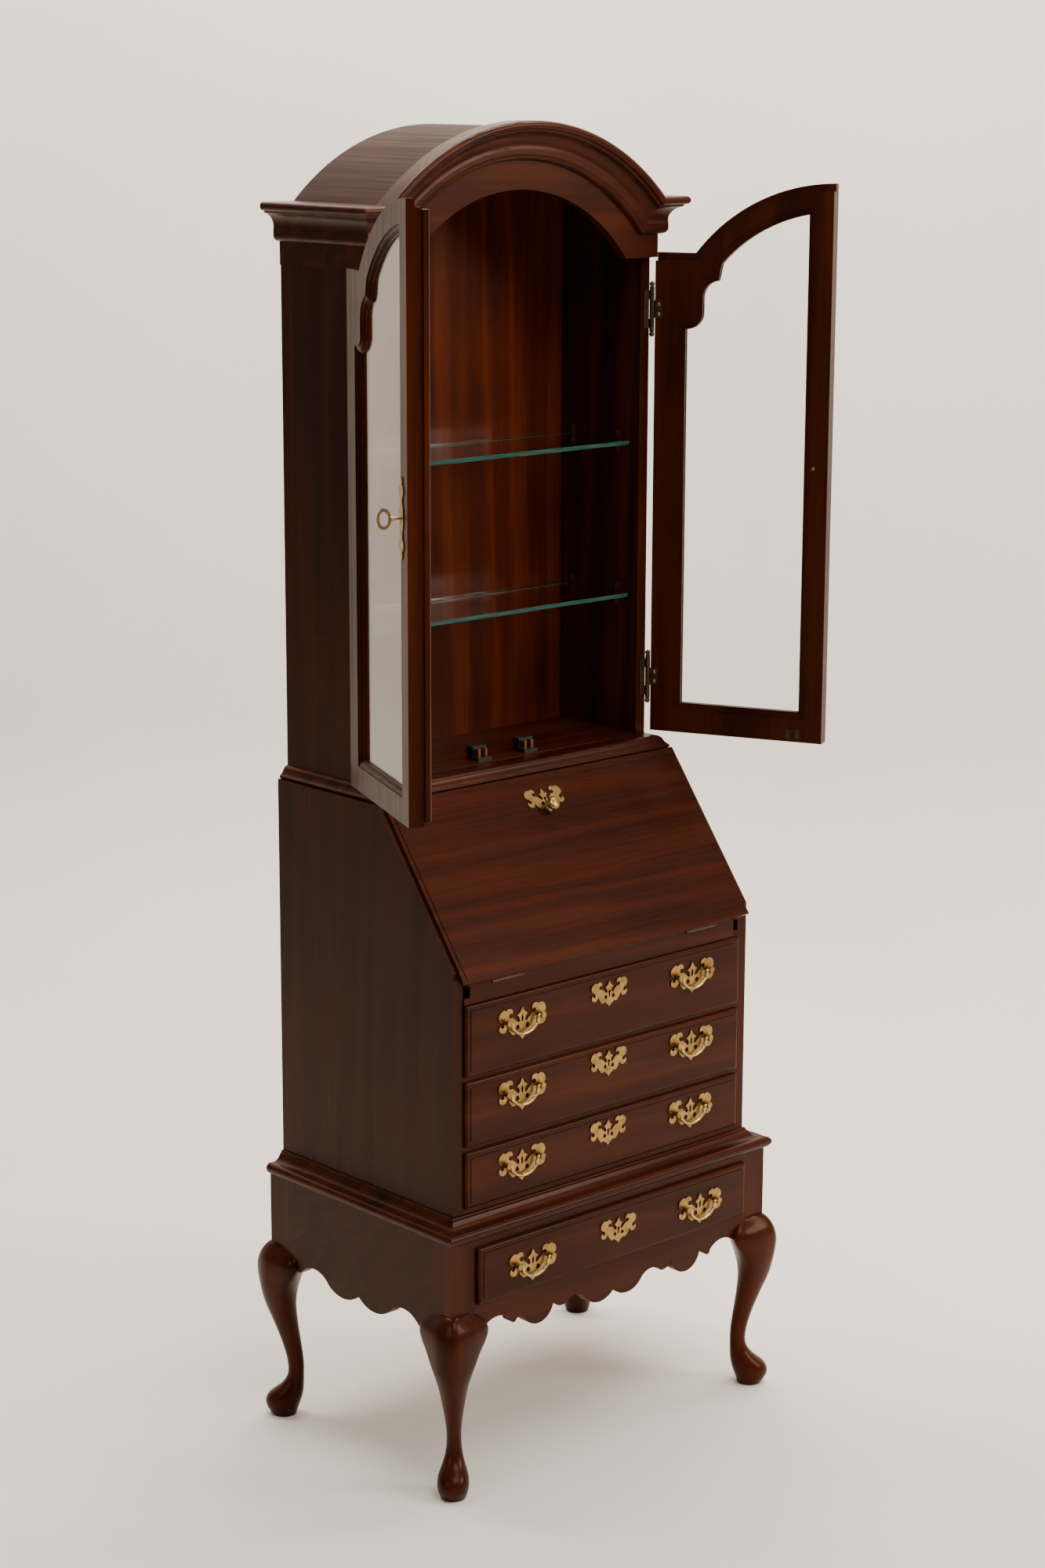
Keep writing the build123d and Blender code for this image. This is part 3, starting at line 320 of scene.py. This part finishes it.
def ease_edges():
    """Round the sharp edges of wood and metal a little, and smooth what is curved."""
    for name, node in NODES.items():
        if name in WOODEN or name in METAL:
            bevel = node.modifiers.new("eased arrises", "BEVEL")
            bevel.width = ROUNDED if name in WOODEN else FILED
            bevel.segments = 2
            bevel.limit_method = "ANGLE"
            bevel.angle_limit = EASED_ABOVE
        node.data.shade_smooth()
        node.data.set_sharp_from_angle(angle=SMOOTH_BELOW)


# ---------------------------------------------------------------- hinge screws
PIN = Vector((0.2738, 0.032, 0.0))           # the right door's hinge axis
DOORS_AT_REST = (("door_right", 1, 115.3), ("door_left", -1, -112.9))   # side, open angle
SCREW_X = 0.2643                  # a screw's place when its door is closed
LEAF_Y = 0.0306                   # and the y of the leaf's face
HINGE_HEIGHTS = (1.624, 1.076)
SCREW_RISE = 0.007                # of a screw above or below the middle of its hinge
SCREW_R = 0.0027
SCREW_DOME = 0.32                 # height of a screw's head against its radius
SLOT_HALF = 0.00032               # half the width of a screw's slot
BASE_HALF = 0.00025               # half the thickness of the disc under the slot
BASE_SIDES = 24
SCREW_SMOOTH = math.radians(35)


def half_head(side):
    """Points and faces of half a low domed screw head, with its flat wall along the slot."""
    mesh = bmesh.new()
    bmesh.ops.create_uvsphere(mesh, u_segments=20, v_segments=12, radius=SCREW_R)
    bmesh.ops.scale(mesh, vec=(1.0, 1.0, SCREW_DOME), verts=mesh.verts)
    cut = bmesh.ops.bisect_plane(mesh, geom=mesh.verts[:] + mesh.edges[:] + mesh.faces[:],
                                 plane_co=(side * SLOT_HALF, 0, 0), plane_no=(-side, 0, 0),
                                 clear_outer=True)["geom_cut"]
    rim = [item for item in cut if isinstance(item, bmesh.types.BMEdge)]
    bmesh.ops.holes_fill(mesh, edges=rim)
    mesh.verts.index_update()
    points = [vert.co.copy() for vert in mesh.verts]
    faces = [[vert.index for vert in face.verts] for face in mesh.faces]
    mesh.free()
    return points, faces


def base_disc():
    """Points and faces of the thin round base under the slot."""
    count = BASE_SIDES
    points = []
    for height in (-BASE_HALF, BASE_HALF):
        for step in range(count):
            turn = 2 * math.pi * step / count
            points.append(Vector((SCREW_R * math.cos(turn), SCREW_R * math.sin(turn), height)))
    faces = [[step, (step + 1) % count, count + (step + 1) % count, count + step]
             for step in range(count)]
    return points, faces + [list(range(count))[::-1], list(range(count, 2 * count))]


def hinge_screws(door, side, angle, material):
    """Two screws in each of a door's hinge leaves, turned with the door to its rest angle."""
    pin = Vector((side * PIN.x, PIN.y, 0.0))
    swing = (Matrix.Translation(pin) @ Matrix.Rotation(math.radians(angle), 4, "Z")
             @ Matrix.Translation(-pin))
    facing = Matrix.Rotation(math.radians(-90), 4, "X")
    points, faces = [], []
    for index, height in enumerate(HINGE_HEIGHTS):
        for up in (-SCREW_RISE, SCREW_RISE):
            spot = Matrix.Translation((side * SCREW_X, LEAF_Y, height + up))
            # No two slots line up.
            slot_turn = Matrix.Rotation(math.radians(25 + 40 * index + 900 * up), 4, "Z")
            place = swing @ spot @ facing @ slot_turn
            for part_points, part_faces in (half_head(1), half_head(-1), base_disc()):
                first = len(points)
                points += [place @ point for point in part_points]
                faces += [[first + corner for corner in face] for face in part_faces]
    data = bpy.data.meshes.new(f"{door}_hinge_screws")
    data.from_pydata(points, [], faces)
    data.shade_smooth()
    data.set_sharp_from_angle(angle=SCREW_SMOOTH)
    data.materials.append(material)
    piece = bpy.data.objects.new(f"{door}_hinge_screws", data)
    bpy.context.scene.collection.objects.link(piece)
    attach(piece, f"{door}_leaf")


# ---------------------------------------------------------------- scene
AZIMUTH = math.radians(-42.34)    # the camera stands to the left of the desk's front
PITCH = math.radians(12.88)       # and looks down
ROLL = math.radians(0.18)
EYE = (-3.00797, -3.29097, 1.976)
LENS = 72.45
SENSOR_HEIGHT = 36.0
ACROSS = Vector((math.cos(AZIMUTH), math.sin(AZIMUTH), 0.0))      # to the picture's right
AWAY = Vector((-math.sin(AZIMUTH), math.cos(AZIMUTH), 0.0))       # level, from the camera

FLOOR_FRONT = -6.0                # reach of the floor towards the camera
BEND_START = 1.6                  # and away from it, to where it bends up into the wall
BEND_RADIUS = 0.6
BEND_STEPS = 12
WALL_TOP = 5.0
BACKDROP_HALF = 7.0
ROOM_COLOUR = (1.0, 0.97, 0.93, 1.0)
ROOM_STRENGTH = 0.22


def camera():
    """The photograph's view, from the left front and a little above the desk's top."""
    data = bpy.data.cameras.new("camera")
    data.sensor_fit = "VERTICAL"
    data.sensor_height = SENSOR_HEIGHT
    data.lens = LENS
    eye = bpy.data.objects.new("camera", data)
    bpy.context.scene.collection.objects.link(eye)
    back = Vector((math.sin(AZIMUTH) * math.cos(PITCH), -math.cos(AZIMUTH) * math.cos(PITCH),
                   math.sin(PITCH)))
    up = back.cross(ACROSS)
    right_rolled = ACROSS * math.cos(ROLL) + up * math.sin(ROLL)
    up_rolled = up * math.cos(ROLL) - ACROSS * math.sin(ROLL)
    turn = Matrix((right_rolled, up_rolled, back)).transposed().to_4x4()
    eye.matrix_world = Matrix.Translation(EYE) @ turn
    bpy.context.scene.camera = eye


def area_light(name, place, target, size, power, colour):
    """A rectangular light at a place, facing a target."""
    data = bpy.data.lights.new(name, "AREA")
    data.shape = "RECTANGLE"
    data.size, data.size_y = size
    data.energy = power
    data.color = colour
    light = bpy.data.objects.new(name, data)
    bpy.context.scene.collection.objects.link(light)
    light.location = place
    aim = Vector(target) - Vector(place)
    light.rotation_euler = aim.to_track_quat("-Z", "Y").to_euler()


def room():
    """Pale floor that curves up into a wall, square to the camera."""
    profile = [(FLOOR_FRONT, 0.0), (BEND_START, 0.0)]
    for step in range(1, BEND_STEPS + 1):
        turn = math.radians(90 * step / BEND_STEPS)
        profile.append((BEND_START + BEND_RADIUS * math.sin(turn),
                        BEND_RADIUS * (1.0 - math.cos(turn))))
    profile.append((BEND_START + BEND_RADIUS, WALL_TOP))
    points, faces = [], []
    for reach, height in profile:
        for side in (-BACKDROP_HALF, BACKDROP_HALF):
            points.append(ACROSS * side + AWAY * reach + Vector((0, 0, height)))
    for index in range(len(profile) - 1):
        faces.append((2 * index, 2 * index + 1, 2 * index + 3, 2 * index + 2))
    mesh = bpy.data.meshes.new("backdrop")
    mesh.from_pydata(points, [], faces)
    mesh.shade_smooth()
    backdrop = bpy.data.objects.new("backdrop", mesh)
    bpy.context.scene.collection.objects.link(backdrop)
    shader = Shader("backdrop")
    mottle = shader.noise(shader.place(EVEN), scale=1.5, detail=2.0, rough=0.5)
    paint = shader.ramp(mottle, (0.3, (0.82, 0.76, 0.69)), (0.7, (0.86, 0.80, 0.73)))
    shader.link(paint, "Base Color")
    shader.set(Roughness=0.7)
    mesh.materials.append(shader.material)


def lighting():
    """Soft light from the whole room, three large lights and one on the wall."""
    world = bpy.data.worlds.new("room light")
    bpy.context.scene.world = world
    world.use_nodes = True
    glow = world.node_tree.nodes["Background"]
    glow.inputs["Color"].default_value = ROOM_COLOUR
    glow.inputs["Strength"].default_value = ROOM_STRENGTH
    area_light("window", place=(2.3, -3.3, 2.7), target=(0.0, -0.1, 1.0), size=(1.5, 2.0),
               power=120.0, colour=(1.0, 0.93, 0.84))
    area_light("side_fill", place=(-3.4, 0.2, 2.4), target=(0.0, 0.1, 1.1), size=(1.2, 2.0),
               power=20.0, colour=(1.0, 0.92, 0.83))
    area_light("top", place=(-0.3, -1.9, 3.7), target=(0.0, 0.0, 0.8), size=(2.0, 1.6),
               power=75.0, colour=(1.0, 0.95, 0.88))
    area_light("wall_wash", place=tuple(AWAY * 0.9 + Vector((0, 0, 4.2))),
               target=tuple(AWAY * 2.2 + Vector((0, 0, 1.2))), size=(5.0, 0.8),
               power=280.0, colour=(1.0, 0.94, 0.87))


wood_everywhere()
antique = brass("antique_brass", base=(0.36, 0.225, 0.078), tarnish=(0.11, 0.058, 0.019),
                amount=0.6, rough=0.26)
bright_brass = brass("polished_brass", base=(0.55, 0.39, 0.17), tarnish=(0.16, 0.09, 0.032),
                     amount=0.4, rough=0.15)
dark_bronze = brass("dark_bronze", base=(0.10, 0.062, 0.034), tarnish=(0.030, 0.020, 0.013),
                    amount=0.8, rough=0.34)
metal_everywhere(antique, bright_brass, dark_bronze)
dress(["door_left_glass", "door_right_glass"], clear_glass("door_glass"))
dress(["glass_shelves"], shelf_glass("shelf_glass"))
dress(["door_catches"], roller_catch("roller_catch"))
for door, side, angle in DOORS_AT_REST:
    hinge_screws(door, side, angle, bright_brass)
ease_edges()
camera()
room()
lighting()
